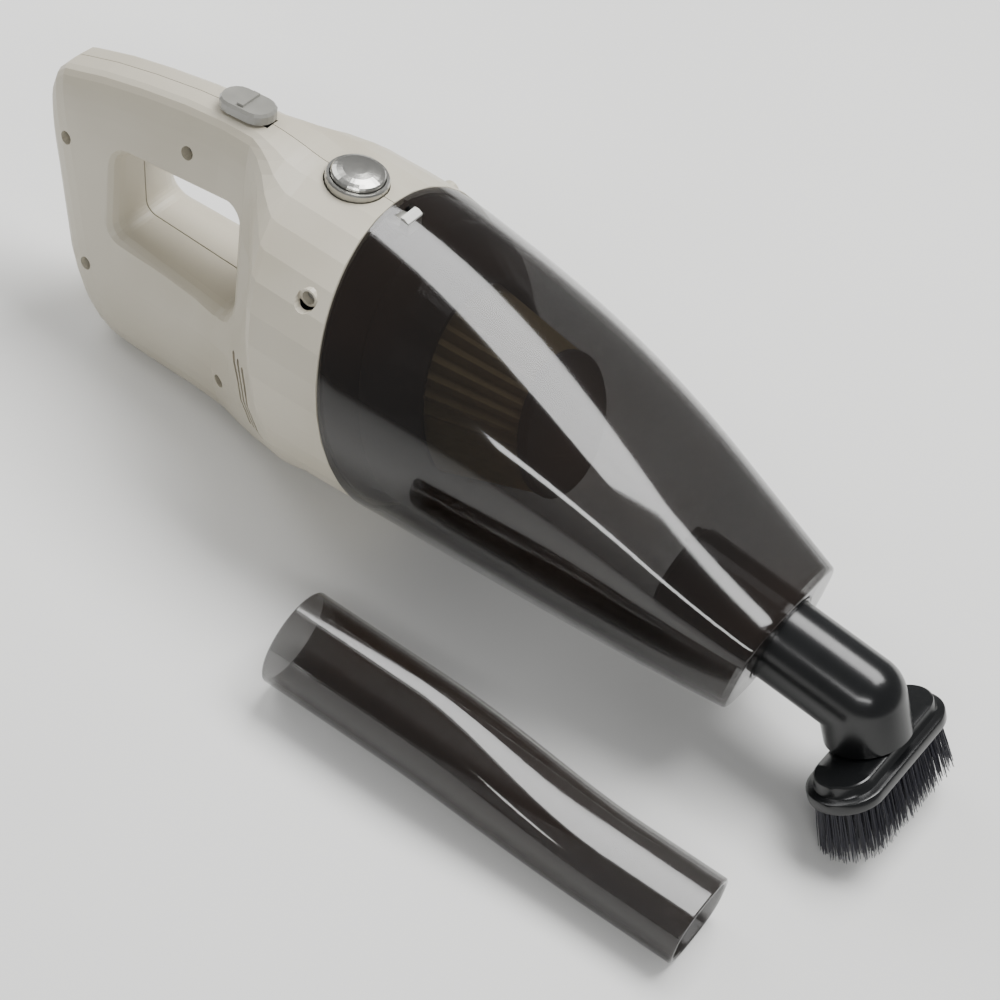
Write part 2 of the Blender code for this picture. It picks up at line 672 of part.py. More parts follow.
def make_controls(frame):
    outline = stadium(SWITCH_LENGTH, SWITCH_WIDTH)
    base = HANDLE_TOP + 0.5 * MM
    small = stadium(SWITCH_LENGTH - 1.6 * MM, SWITCH_WIDTH - 1.6 * MM)
    rings = [[Vector((x, y, base)) for x, y in outline],
             [Vector((x, y, SWITCH_TOP - 1 * MM)) for x, y in outline],
             [Vector((x, y, SWITCH_TOP)) for x, y in small]]
    knob = add_object("switch_knob", solid_of_rings(rings), switch_plastic(), frame, location=(SWITCH_X, 0, 0))
    neck = box(-2.2 * MM, 2.2 * MM, -1.8 * MM, 1.8 * MM, 60.6 * MM, base + 1 * MM)
    boolean(knob, add_cutter("switch_neck", neck, frame, (SWITCH_X, 0, 0)), "UNION")
    rib = box(-1.3 * MM, 1.3 * MM, -4.6 * MM, 4.6 * MM, SWITCH_TOP - 0.5 * MM, SWITCH_TOP + 1 * MM)
    boolean(knob, add_cutter("switch_rib", rib, frame, (SWITCH_X, 0, 0)), "UNION")
    body = box(SWITCH_X - 7 * MM, SWITCH_X + 11 * MM, -4.8 * MM, 4.8 * MM, 51 * MM, 59.8 * MM)
    add_object("switch_body", body, matte_black_plastic(), frame)
    make_button(frame)
    make_latch(frame)


def make_button(frame):
    place = (BUTTON_X, 0, BUTTON_Z)
    turn = (0, BUTTON_LEAN, 0)
    dome = [(3.0 * MM + 2.0 * MM * math.cos(a), BUTTON_RADIUS * math.sin(a))
            for a in (math.pi / 2 * i / 5 for i in range(1, 6))]
    profile = [(-6.0 * MM, 0), (-6.0 * MM, 3 * MM), (-3.5 * MM, 3 * MM), (-3.5 * MM, BUTTON_RADIUS),
               *reversed(dome), (5.0 * MM, 0)]
    add_object("release_button", turned(profile, "Z", 28), silver_plastic(), frame, location=place, turn=turn)
    ring = turned([(-2.8 * MM, 9.75 * MM), (-2.8 * MM, 11.05 * MM), (1.4 * MM, 11.05 * MM), (2.0 * MM, 10.7 * MM),
                   (2.0 * MM, 9.75 * MM)], "Z", 28)
    add_object("button_ring", ring, silver_plastic(), frame, location=place, turn=turn)


def make_latch(frame):
    outline = [(-47.5, 44.2), (-42.0, 44.2), (-30.0, 45.6), (-20.0, 47.6), (-13.0, 47.6), (-5.0, 47.6),
               (-5.0, 52.8), (-6.6, 54.0), (-8.2, 54.0), (-8.2, 50.4), (-20.0, 50.2), (-42.0, 48.2),
               (-47.5, 48.2)]
    lever = add_object("latch_lever", extruded([(x * MM, z * MM) for x, z in outline], -4 * MM, 4 * MM),
                       white_plastic(), frame)
    hole = turned([(-9 * MM, 0), (-9 * MM, 1.35 * MM), (9 * MM, 1.35 * MM), (9 * MM, 0)], "Y", 12)
    boolean(lever, add_cutter("latch_hole_cutter", hole, frame, (LATCH_PIVOT_X, 0, LATCH_PIVOT_Z)))
    pin = turned([(-9 * MM, 0), (-9 * MM, 1.0 * MM), (9 * MM, 1.0 * MM), (9 * MM, 0)], "Y", 12)
    add_object("latch_pin", pin, steel(), frame, location=(LATCH_PIVOT_X, 0, LATCH_PIVOT_Z))
    make_coil(frame)


def make_coil(frame):
    """Torsion spring on the latch pin, beside the lever."""
    turns, steps, sides = 2, 12, 5
    radius, wire = 2.0 * MM, 0.35 * MM
    rings = []
    for i in range(turns * steps + 1):
        angle = 2 * math.pi * i / steps
        centre = Vector((radius * math.cos(angle), 4.8 * MM + 1.4 * MM * i / steps, radius * math.sin(angle)))
        outward = Vector((math.cos(angle), 0, math.sin(angle)))
        rings.append([centre + (outward * math.cos(a) + Vector((0, 1, 0)) * math.sin(a)) * wire
                      for a in (2 * math.pi * k / sides for k in range(sides))])
    add_object("latch_spring", solid_of_rings(rings), steel(), frame,
               location=(LATCH_PIVOT_X, 0, LATCH_PIVOT_Z))


def make_filter(frame):
    flange = HOLDER_FLANGE_X
    profile = [(-0.8 * MM, 27 * MM), (-0.8 * MM, 30 * MM), (flange, 30 * MM), (flange, HOLDER_FLANGE_RADIUS),
               (flange + 3 * MM, HOLDER_FLANGE_RADIUS), (flange + 6 * MM, 43 * MM), (28 * MM, 35.5 * MM),
               (28 * MM, 34 * MM), (flange + 6 * MM, 36 * MM), (flange + 3 * MM, 27 * MM)]
    add_object("filter_holder", turned(profile, "X", 32, JOINT_LEAN), black_plastic(), frame)
    rings = []
    for x, radius, depth in ((PLEAT_START, 33.2 * MM, 3.0 * MM), (PLEAT_END, 24.2 * MM, 2.4 * MM)):
        ring = []
        for i in range(2 * PLEAT_COUNT):
            angle = math.pi * i / PLEAT_COUNT
            r = radius - (depth if i % 2 else 0)
            z = r * math.sin(angle)
            ring.append(Vector((x - JOINT_LEAN * z, r * math.cos(angle), z)))
        rings.append(ring)
    pleats = add_object("filter_pleats", solid_of_rings(rings), pleat_paper(), frame, smooth=20)
    core = turned([(15 * MM, 0), (15 * MM, 26.5 * MM), (62 * MM, 19 * MM), (62 * MM, 0)], "X", 32, JOINT_LEAN)
    boolean(pleats, add_cutter("pleat_core_cutter", core, frame))
    cap = turned([(PLEAT_END + GAP, 0), (PLEAT_END + GAP, 24.6 * MM), (PLEAT_END + 2.6 * MM, 24.6 * MM),
                  (PLEAT_END + 3.6 * MM, 23.4 * MM), (PLEAT_END + 3.6 * MM, 0)], "X", 36, JOINT_LEAN)
    add_object("filter_end_cap", cap, matte_black_plastic(), frame)


def make_bulkhead(frame):
    back, front = -4.2 * MM, -1.2 * MM
    plate = turned([(back, 22 * MM), (back, 52.3 * MM), (front, 52.3 * MM), (front, 22 * MM)], "X", 32, JOINT_LEAN)
    bulkhead = add_object("motor_bulkhead", plate, matte_black_plastic(), frame)
    notch = box(-32 * MM, 2 * MM, -5.5 * MM, 5.5 * MM, 41.5 * MM, 60 * MM)
    boolean(bulkhead, add_cutter("bulkhead_notch_cutter", notch, frame))
    seal = turned([(-0.9 * MM, 49 * MM), (-0.9 * MM, 52.1 * MM), (0.6 * MM, 52.1 * MM), (0.6 * MM, 49 * MM)],
                  "X", 32, JOINT_LEAN)
    gasket = add_object("cup_seal", seal, rubber(), frame)
    seal_notch = box(-32 * MM, 2 * MM, -5.5 * MM, 5.5 * MM, 41.5 * MM, 60 * MM)
    boolean(gasket, add_cutter("seal_notch_cutter", seal_notch, frame))
    make_grille(frame)


def make_grille(frame):
    rim = turned([(-3.9 * MM, 19.6 * MM), (-3.9 * MM, 21.7 * MM), (-1.5 * MM, 21.7 * MM), (-1.5 * MM, 19.6 * MM)],
                 "X", 32, JOINT_LEAN)
    grille = add_object("intake_grille", rim, matte_black_plastic(), frame)
    for i in range(4):
        y = (-12 + 8 * i) * MM
        reach = math.sqrt((20.6 * MM) ** 2 - y ** 2)
        tilt = JOINT_LEAN * reach
        outline = [(-3.6 * MM + tilt, -reach), (-1.8 * MM + tilt, -reach), (-1.8 * MM - tilt, reach),
                   (-3.6 * MM - tilt, reach)]
        bar = extruded(outline, y - 0.8 * MM, y + 0.8 * MM)
        boolean(grille, add_cutter("grille_bar_%d" % (i + 1), bar, frame), "UNION")


def make_motor(frame):
    place = (0, 0, MOTOR_Z)
    can = [(MOTOR_REAR, 0), (MOTOR_REAR, 4 * MM), (MOTOR_REAR + 1.5 * MM, 4 * MM),
           (MOTOR_REAR + 1.5 * MM, MOTOR_RADIUS - 1 * MM), (MOTOR_REAR + 2.5 * MM, MOTOR_RADIUS),
           (MOTOR_FRONT - 1 * MM, MOTOR_RADIUS), (MOTOR_FRONT, MOTOR_RADIUS - 1 * MM), (MOTOR_FRONT, 1.6 * MM),
           (MOTOR_FRONT - 8 * MM, 1.6 * MM), (MOTOR_FRONT - 8 * MM, 0)]
    add_object("motor_can", turned(can, "X", 32), steel(), frame, location=place)
    shaft = turned([(-34 * MM, 0), (-34 * MM, 1.2 * MM), (-13.4 * MM, 1.2 * MM), (-13.4 * MM, 0)], "X", 12)
    add_object("motor_shaft", shaft, steel(), frame, location=place)
    mount = turned([(-50 * MM, MOTOR_RADIUS + GAP), (-50 * MM, 19 * MM), (-42 * MM, 19 * MM),
                    (-42 * MM, MOTOR_RADIUS + GAP)], "X", 32)
    add_object("motor_mount_ring", mount, rubber(), frame, location=place)
    shroud = turned([(-26.4 * MM, 5 * MM), (-26.4 * MM, SHROUD_RADIUS), (-15.0 * MM, SHROUD_RADIUS),
                     (-15.0 * MM, SHROUD_RADIUS - 1.4 * MM), (-25.0 * MM, SHROUD_RADIUS - 1.4 * MM),
                     (-25.0 * MM, 5 * MM)], "X", 32)
    add_object("fan_shroud", shroud, matte_black_plastic(), frame, location=place)
    make_impeller(frame, place)
    nut = turned([(-15.6 * MM, 1.5 * MM), (-15.6 * MM, 3.2 * MM), (-14.2 * MM, 3.2 * MM), (-14.2 * MM, 1.5 * MM)],
                 "X", 6)
    add_object("impeller_nut", nut, steel(), frame, location=place)


def make_impeller(frame, place):
    disc = turned([(-24.2 * MM, 1.5 * MM), (-24.2 * MM, FAN_RADIUS), (-23.0 * MM, FAN_RADIUS),
                   (-23.0 * MM, 5 * MM), (-16.0 * MM, 3.6 * MM), (-16.0 * MM, 1.5 * MM)], "X", 28)
    impeller = add_object("impeller", disc, white_plastic(), frame, location=place)
    for i in range(7):
        base = 2 * math.pi * i / 7
        rings = []
        for x in (-23.5 * MM, -17.0 * MM):
            ring = []
            for radius, offset in ((4.0, -0.5), (12.0, -0.5), (19.0, -0.5), (26.0, -0.5),
                                   (26.0, 0.5), (19.0, 0.5), (12.0, 0.5), (4.0, 0.5)):
                angle = base + 0.9 * (radius / 26.0) ** 1.5 + offset / radius
                r = radius * MM
                ring.append(Vector((x, r * math.cos(angle), r * math.sin(angle))))
            rings.append(ring)
        blade = add_cutter("blade_%d" % (i + 1), solid_of_rings(rings), frame, place)
        boolean(impeller, blade, "UNION")


def make_power(frame):
    for name, y in (("battery_cell_right", -9.45 * MM), ("battery_cell_left", 9.45 * MM)):
        cell = turned([(0, 0), (0, CELL_RADIUS), (CELL_LENGTH - 1 * MM, CELL_RADIUS), (CELL_LENGTH - 1 * MM, 3 * MM),
                       (CELL_LENGTH, 3 * MM), (CELL_LENGTH, 0)], "X", 24)
        add_object(name, cell, cell_wrap(), frame, location=(CELL_START, y, CELL_Z))
    x0, x1 = CELL_START - 2 * MM, CELL_START + CELL_LENGTH + 2 * MM
    floor = CELL_Z - CELL_RADIUS - GAP
    wall = 1.5 * MM
    tray = box(x0, x1, -11 * MM, 11 * MM, floor - wall, floor + 10 * MM)
    bracket = add_object("battery_bracket", tray, matte_black_plastic(), frame, smooth=20)
    room = box(x0 + wall, x1 - wall, -15 * MM, 15 * MM, floor, floor + 20 * MM)
    boolean(bracket, add_cutter("bracket_room_cutter", room, frame))
    board = box(-120 * MM, -94.5 * MM, -10 * MM, 10 * MM, 42.2 * MM, 43.8 * MM)
    add_object("circuit_board", board, board_green(), frame)
    make_socket(frame)
    make_wires(frame)


def make_socket(frame):
    rear = -143.3 * MM - 0.31 * SOCKET_Z
    profile = [(rear + 0.8 * MM, 1.4 * MM), (rear + 0.8 * MM, 4.0 * MM), (rear + 10 * MM, 4.0 * MM),
               (rear + 10 * MM, 0), (rear + 8 * MM, 0), (rear + 8 * MM, 1.4 * MM)]
    add_object("charging_socket", turned(profile, "X", 20), matte_black_plastic(), frame, location=(0, 0, SOCKET_Z))


def make_wire(name, points, mat, frame):
    """A round wire through hand-set points, drawn as a smooth curve sampled evenly."""
    curve = bpy.data.curves.new(name, "CURVE")
    curve.dimensions = "3D"
    curve.bevel_depth = 0.7 * MM
    curve.bevel_resolution = 1
    curve.use_fill_caps = True
    spline = curve.splines.new("POLY")
    smooth = []
    for i in range(len(points) - 1):
        p0, p1 = points[max(0, i - 1)], points[i]
        p2, p3 = points[i + 1], points[min(len(points) - 1, i + 2)]
        for step in range(2):
            t = step / 2
            smooth.append(0.5 * ((2 * p1) + (p2 - p0) * t + (2 * p0 - 5 * p1 + 4 * p2 - p3) * t ** 2
                                 + (3 * p1 - p0 - 3 * p2 + p3) * t ** 3))
    smooth.append(points[-1])
    spline.points.add(len(smooth) - 1)
    for target, point in zip(spline.points, smooth):
        target.co = (*point, 1.0)
    wire = bpy.data.objects.new(name, curve)
    curve.materials.append(mat)
    bpy.context.collection.objects.link(wire)
    wire.parent = frame


def make_wires(frame):
    route = ((-93.9, 42.6), (-89.0, 40.3), (-80.0, 41.4), (-68.0, 43.0), (-58.5, 41.5), (-54.0, 32.0),
             (-53.4, 20.0), (-53.2, 12.9))
    for name, y, mat in (("motor_wire_red", -5, wire_red()), ("motor_wire_black", 5, wire_black())):
        make_wire(name, [Vector((x * MM, y * MM, z * MM)) for x, z in route], mat, frame)
    rear = ((-125.6, -25.0), (-131.0, -25.2), (-134.6, -17.0), (-132.8, -6.0), (-131.6, 14.0), (-132.4, 30.0),
            (-129.0, 40.5), (-121.0, 43.0))
    make_wire("battery_wire", [Vector((x * MM, 3 * MM, z * MM)) for x, z in rear], wire_red(), frame)


def make_screws(frame):
    for name, x, z in SCREWS:
        x, z = x * MM, z * MM
        head = -(housing_side(x, z) - SCREW_DEPTH + GAP)
        tip = 8 * MM
        profile = [(head - 1.8 * MM, 0), (head - 1.8 * MM, HEAD_RADIUS - 0.5 * MM), (head - 1.3 * MM, HEAD_RADIUS),
                   (head, HEAD_RADIUS), (head, SHANK_RADIUS), (tip - 1 * MM, SHANK_RADIUS), (tip, 0)]
        add_object("screw_" + name, turned(profile, "Y", 12), steel(), frame, location=(x, 0, z))


def nozzle_ring(share, inset=0.0, steps=26):
    """Round at the rear, flattening to an oval at the front."""
    flat = smoothstep((share - 0.30) / 0.5)
    wide = NOZZLE_RADIUS - 1.0 * MM * flat - inset
    high = NOZZLE_RADIUS - 5.5 * MM * flat - inset
    square = 2 + 0.9 * flat
    floor = NOZZLE_RADIUS - (NOZZLE_RADIUS - 5.5 * MM * flat)
    ring = []
    for i in range(steps):
        across, up = superellipse(2 * math.pi * i / steps, square)
        ring.append(Vector((NOZZLE_LENGTH * share, wide * across, high * up - floor)))
    return ring


def make_crevice_nozzle():
    shares = (0, 0.15, 0.30, 0.42, 0.54, 0.66, 0.80, 1.0)
    bm = bmesh.new()
    loops = bridge_rings(bm, [nozzle_ring(s) for s in shares] + [nozzle_ring(s, NOZZLE_WALL) for s in reversed(shares)],
                         False, False)
    for i in range(len(loops[0])):
        j = (i + 1) % len(loops[0])
        bm.faces.new((loops[-1][i], loops[-1][j], loops[0][j], loops[0][i]))
    place = (NOZZLE_REAR[0] + ORIGIN_SHIFT_X, NOZZLE_REAR[1] + ORIGIN_SHIFT_Y, NOZZLE_RADIUS + 0.05 * MM)
    add_object("crevice_nozzle", bm, smoked_plastic(), None, location=place, turn=(0, 0, NOZZLE_YAW))


def main():
    clear_scene()
    frame = make_frame()
    make_housing(frame)
    nozzle = make_nozzle_frame(frame)
    make_dust_cup(frame, nozzle)
    make_intake(nozzle)
    make_brush(nozzle)
    make_controls(frame)
    make_filter(frame)
    make_bulkhead(frame)
    make_motor(frame)
    make_power(frame)
    make_screws(frame)
    make_crevice_nozzle()


main()
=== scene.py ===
import bpy
import bmesh
import json
import math
import random
from mathutils import Matrix, Vector


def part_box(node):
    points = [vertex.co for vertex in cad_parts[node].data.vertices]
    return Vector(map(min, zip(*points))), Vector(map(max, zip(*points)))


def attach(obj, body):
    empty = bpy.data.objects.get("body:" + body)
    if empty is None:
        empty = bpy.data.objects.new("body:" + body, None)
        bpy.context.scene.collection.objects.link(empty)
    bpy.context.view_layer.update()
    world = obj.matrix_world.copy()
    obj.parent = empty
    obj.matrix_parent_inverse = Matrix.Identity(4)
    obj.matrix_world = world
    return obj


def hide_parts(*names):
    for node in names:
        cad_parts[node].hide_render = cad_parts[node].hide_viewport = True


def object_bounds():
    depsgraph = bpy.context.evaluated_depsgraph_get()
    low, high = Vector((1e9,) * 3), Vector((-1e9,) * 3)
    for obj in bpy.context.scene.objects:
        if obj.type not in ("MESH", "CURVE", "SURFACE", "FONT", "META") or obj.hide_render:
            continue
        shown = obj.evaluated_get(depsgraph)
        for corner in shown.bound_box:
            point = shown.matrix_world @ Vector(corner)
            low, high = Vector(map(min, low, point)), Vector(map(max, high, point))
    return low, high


mm = 0.001
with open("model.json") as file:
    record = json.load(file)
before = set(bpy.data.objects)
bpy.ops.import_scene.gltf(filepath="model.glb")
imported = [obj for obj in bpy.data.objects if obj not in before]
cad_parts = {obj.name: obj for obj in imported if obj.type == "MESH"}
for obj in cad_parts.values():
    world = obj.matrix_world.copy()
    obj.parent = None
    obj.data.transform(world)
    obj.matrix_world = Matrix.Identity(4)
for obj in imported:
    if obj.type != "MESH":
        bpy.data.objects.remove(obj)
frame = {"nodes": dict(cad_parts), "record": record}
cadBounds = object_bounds()
joints = {joint["name"]: joint for joint in frame["record"]["behaviour"]["joints"]}
print("frame loaded:", len(frame["nodes"]), "nodes")

noseAxis = Vector(joints["cup_pull"]["axis"])           # the cup slides along the vacuum's own X
jointCentre = Vector(joints["cup_pull"]["pos_m"])
upAxis = noseAxis.cross(Vector((0, 1, 0)))
toWorld = Matrix((
    (noseAxis.x, 0, upAxis.x, jointCentre.x),
    (noseAxis.y, 1, upAxis.y, jointCentre.y),
    (noseAxis.z, 0, upAxis.z, jointCentre.z),
    (0, 0, 0, 1),
))


def toLinear(hexColour):
    channels = [int(hexColour[i:i + 2], 16) / 255 for i in (1, 3, 5)]
    linear = [c / 12.92 if c <= 0.04045 else ((c + 0.055) / 1.055) ** 2.4 for c in channels]
    return (*linear, 1.0)


def addNode(tree, kind, settings=None, links=None):
    node = tree.nodes.new(kind)
    for name, value in (settings or {}).items():
        if name in node.inputs:
            node.inputs[name].default_value = value
        else:
            setattr(node, name, value)
    for name, source in (links or {}).items():
        tree.links.new(source, node.inputs[name])
    return node


def startMaterial(name):
    mat = bpy.data.materials.new(name)
    mat.use_nodes = True
    tree = mat.node_tree
    shader = tree.nodes["Principled BSDF"]
    coords = addNode(tree, "ShaderNodeTexCoord").outputs["Object"]
    return mat, tree, shader, coords


def stretched(tree, coords, scale):
    return addNode(tree, "ShaderNodeMapping", {"Scale": scale}, {"Vector": coords}).outputs["Vector"]


def noise(tree, coords, size, detail=3.0, roughness=0.55):   # size is how far apart its features are
    settings = {"Scale": 1 / size, "Detail": detail, "Roughness": roughness}
    return addNode(tree, "ShaderNodeTexNoise", settings, {"Vector": coords}).outputs["Fac"]


def blendColours(tree, factor, dark, light, low=0.35, high=0.65):
    ramp = addNode(tree, "ShaderNodeValToRGB", links={"Fac": factor})
    ramp.color_ramp.elements[0].position = low
    ramp.color_ramp.elements[0].color = toLinear(dark)
    ramp.color_ramp.elements[1].position = high
    ramp.color_ramp.elements[1].color = toLinear(light)
    return ramp.outputs["Color"]


def spread(tree, factor, low, high):
    limits = {"To Min": low, "To Max": high}
    return addNode(tree, "ShaderNodeMapRange", limits, {"Value": factor}).outputs["Result"]


def bump(tree, height, depth, strength=1.0, under=None):
    links = {"Height": height}
    if under:
        links["Normal"] = under
    settings = {"Distance": depth, "Strength": strength}
    return addNode(tree, "ShaderNodeBump", settings, links).outputs["Normal"]


def plastic(name, look):   # drifting tone, moulded grain, rubbed patches, hairline scratches
    mat, tree, shader, coords = startMaterial(name)
    drift = noise(tree, coords, look["driftSize"], 2.0)
    grain = noise(tree, coords, look["grainSize"], 2.0, 0.6)
    rubbed = noise(tree, coords, look["rubSize"], 4.0)
    tree.links.new(blendColours(tree, drift, look["dark"], look["light"]), shader.inputs["Base Color"])
    low, high = look["roughness"]
    tree.links.new(spread(tree, rubbed, low, high), shader.inputs["Roughness"])
    scratches = noise(tree, stretched(tree, coords, (1, 14, 14)), look["scratchSize"], 1.0)
    surface = bump(tree, grain, look["grainDepth"])
    tree.links.new(bump(tree, scratches, look["scratchDepth"], 0.4, surface), shader.inputs["Normal"])
    shader.inputs["IOR"].default_value = look.get("ior", 1.53)
    shader.inputs["Metallic"].default_value = look.get("metallic", 0.0)
    shader.inputs["Coat Weight"].default_value = look.get("coat", 0.0)
    shader.inputs["Coat Roughness"].default_value = 0.06
    if "alpha" in look:
        thin, thick = look["alpha"]
        tree.links.new(spread(tree, drift, thin, thick), shader.inputs["Alpha"])
    return mat


creamAbs = {
    "dark": "#bdb6a4", "light": "#c8c2b2", "driftSize": 60 * mm,
    "grainSize": 0.55 * mm, "grainDepth": 0.016 * mm, "rubSize": 22 * mm, "roughness": (0.34, 0.5),
    "scratchSize": 7 * mm, "scratchDepth": 0.01 * mm,
}
smokedPolycarbonate = {
    "dark": "#140e0a", "light": "#1f1610", "driftSize": 70 * mm,
    "grainSize": 12.0 * mm, "grainDepth": 0.002 * mm, "rubSize": 30 * mm, "roughness": (0.05, 0.1),
    "scratchSize": 14 * mm, "scratchDepth": 0.002 * mm, "ior": 1.58, "coat": 0.6, "alpha": (0.55, 0.61),
}
glossBlackAbs = {
    "dark": "#0c0d0e", "light": "#141516", "driftSize": 40 * mm,
    "grainSize": 1.2 * mm, "grainDepth": 0.006 * mm, "rubSize": 14 * mm, "roughness": (0.16, 0.3),
    "scratchSize": 6 * mm, "scratchDepth": 0.01 * mm,
}
matteBlackAbs = {
    "dark": "#131314", "light": "#1c1c1d", "driftSize": 30 * mm,
    "grainSize": 0.5 * mm, "grainDepth": 0.03 * mm, "rubSize": 12 * mm, "roughness": (0.5, 0.66),
    "scratchSize": 6 * mm, "scratchDepth": 0.01 * mm,
}
naturalNylon = {
    "dark": "#d8d7d0", "light": "#e6e5df", "driftSize": 20 * mm,
    "grainSize": 0.5 * mm, "grainDepth": 0.015 * mm, "rubSize": 9 * mm, "roughness": (0.34, 0.48),
    "scratchSize": 5 * mm, "scratchDepth": 0.008 * mm,
}
greySwitchAbs = {
    "dark": "#83827c", "light": "#92918b", "driftSize": 16 * mm,
    "grainSize": 0.9 * mm, "grainDepth": 0.008 * mm, "rubSize": 7 * mm, "roughness": (0.16, 0.28),
    "scratchSize": 4 * mm, "scratchDepth": 0.01 * mm, "coat": 0.4,
}
platedAbs = {
    "dark": "#aeada8", "light": "#c2c1bc", "driftSize": 14 * mm,
    "grainSize": 0.8 * mm, "grainDepth": 0.005 * mm, "rubSize": 6 * mm, "roughness": (0.16, 0.27),
    "scratchSize": 4 * mm, "scratchDepth": 0.006 * mm, "metallic": 0.9,
}
shrinkWrap = {
    "dark": "#24529a", "light": "#2f62b2", "driftSize": 25 * mm,
    "grainSize": 2.0 * mm, "grainDepth": 0.02 * mm, "rubSize": 9 * mm, "roughness": (0.26, 0.4),
    "scratchSize": 5 * mm, "scratchDepth": 0.01 * mm,
}
redInsulation = {
    "dark": "#8d1216", "light": "#a91a1d", "driftSize": 12 * mm,
    "grainSize": 0.6 * mm, "grainDepth": 0.01 * mm, "rubSize": 5 * mm, "roughness": (0.38, 0.52),
    "scratchSize": 3 * mm, "scratchDepth": 0.006 * mm,
}
blackInsulation = {
    "dark": "#141414", "light": "#1e1e1e", "driftSize": 12 * mm,
    "grainSize": 0.6 * mm, "grainDepth": 0.01 * mm, "rubSize": 5 * mm, "roughness": (0.38, 0.52),
    "scratchSize": 3 * mm, "scratchDepth": 0.006 * mm,
}
mouldedRubber = {
    "dark": "#171717", "light": "#222221", "driftSize": 18 * mm,
    "grainSize": 0.35 * mm, "grainDepth": 0.03 * mm, "rubSize": 6 * mm, "roughness": (0.62, 0.8),
    "scratchSize": 5 * mm, "scratchDepth": 0.01 * mm, "ior": 1.52,
}


def filterPaper():   # fibres, with dust in the folds
    mat, tree, shader, coords = startMaterial("pleated filter paper")
    fibres = noise(tree, stretched(tree, coords, (1, 5, 5)), 1.4 * mm, 5.0, 0.7)
    dust = noise(tree, coords, 9 * mm, 4.0)
    clean = blendColours(tree, fibres, "#a89468", "#cdbb8e", 0.3, 0.7)
    dusty = addNode(tree, "ShaderNodeMix", {"data_type": "RGBA", "blend_type": "MULTIPLY"})
    tree.links.new(spread(tree, dust, 0.0, 0.6), dusty.inputs[0])
    tree.links.new(clean, dusty.inputs[6])
    dusty.inputs[7].default_value = toLinear("#b5a78a")
    tree.links.new(dusty.outputs[2], shader.inputs["Base Color"])
    tree.links.new(bump(tree, fibres, 0.06 * mm), shader.inputs["Normal"])
    shader.inputs["Roughness"].default_value = 0.88
    return mat


def bristleNylon():
    mat, tree, shader, coords = startMaterial("nylon filament")
    strand = noise(tree, coords, 1.1 * mm, 2.0)
    tree.links.new(blendColours(tree, strand, "#0d0d18", "#20202f"), shader.inputs["Base Color"])
    tree.links.new(spread(tree, strand, 0.28, 0.5), shader.inputs["Roughness"])
    tree.links.new(bump(tree, strand, 0.02 * mm), shader.inputs["Normal"])
    return mat


def platedSteel():   # fine rolling lines and dull patches
    mat, tree, shader, coords = startMaterial("zinc-plated steel")
    lines = noise(tree, stretched(tree, coords, (1, 30, 30)), 12 * mm, 3.0)
    patches = noise(tree, coords, 6 * mm, 3.0)
    tree.links.new(blendColours(tree, patches, "#8f9092", "#a8a9aa"), shader.inputs["Base Color"])
    tree.links.new(spread(tree, lines, 0.22, 0.42), shader.inputs["Roughness"])
    tree.links.new(bump(tree, lines, 0.01 * mm), shader.inputs["Normal"])
    shader.inputs["Metallic"].default_value = 1.0
    return mat


def solderMask():
    mat, tree, shader, coords = startMaterial("solder mask over copper")
    colours = {"Color1": toLinear("#1d6b33"), "Color2": toLinear("#1a6330"), "Mortar": toLinear("#2f8a49")}
    tracks = addNode(tree, "ShaderNodeTexBrick", {"Scale": 160.0, "Mortar Size": 0.06, **colours},
                     {"Vector": coords})
    tree.links.new(tracks.outputs["Color"], shader.inputs["Base Color"])
    tree.links.new(bump(tree, tracks.outputs["Fac"], 0.03 * mm), shader.inputs["Normal"])
    tree.links.new(spread(tree, noise(tree, coords, 5 * mm), 0.3, 0.45), shader.inputs["Roughness"])
    return mat


materials = {
    "cream_plastic": plastic("injection-moulded ABS, putty", creamAbs),
    "smoked_plastic": plastic("smoked polycarbonate", smokedPolycarbonate),
    "black_plastic": plastic("gloss black ABS", glossBlackAbs),
    "matte_black_plastic": plastic("matte black ABS", matteBlackAbs),
    "white_plastic": plastic("natural nylon", naturalNylon),
    "switch_plastic": plastic("polished grey ABS", greySwitchAbs),
    "silver_plastic": plastic("plated ABS", platedAbs),
    "pleat_paper": filterPaper(),
    "bristle_nylon": bristleNylon(),
    "steel": platedSteel(),
    "rubber": plastic("moulded nitrile rubber", mouldedRubber),
    "board_green": solderMask(),
    "cell_wrap": plastic("PVC shrink wrap", shrinkWrap),
    "wire_red": plastic("red PVC insulation", redInsulation),
    "wire_black": plastic("black PVC insulation", blackInsulation),
}
for part in frame["record"]["subparts"]:
    node = frame["nodes"][part["node"]]
    node.data.materials.clear()
    node.data.materials.append(materials[part["material_slot"]])
print("materials:", len(materials))


def addPiece(name, bm, slotName, body, replaced, smooth=35.0, local=True):   # local: the vacuum's own axes
    bmesh.ops.recalc_face_normals(bm, faces=bm.faces[:])
    if local:
        bm.transform(toWorld)
    mesh = bpy.data.meshes.new(name)
    bm.to_mesh(mesh)
    bm.free()
    mesh.shade_smooth()
    mesh.set_sharp_from_angle(angle=math.radians(smooth))
    mesh.materials.append(materials[slotName])
    piece = bpy.data.objects.new(name, mesh)
    bpy.context.scene.collection.objects.link(piece)
    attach(piece, body)
    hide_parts(*replaced)
    return piece


def loftRings(bm, rings, closed=False):
    loops = [[bm.verts.new(point) for point in ring] for ring in rings]
    pairs = list(zip(loops, loops[1:])) + ([(loops[-1], loops[0])] if closed else [])
    for near, far in pairs:
        for i in range(len(near)):
            j = (i + 1) % len(near)
            bm.faces.new((near[i], near[j], far[j], far[i]))
    return loops


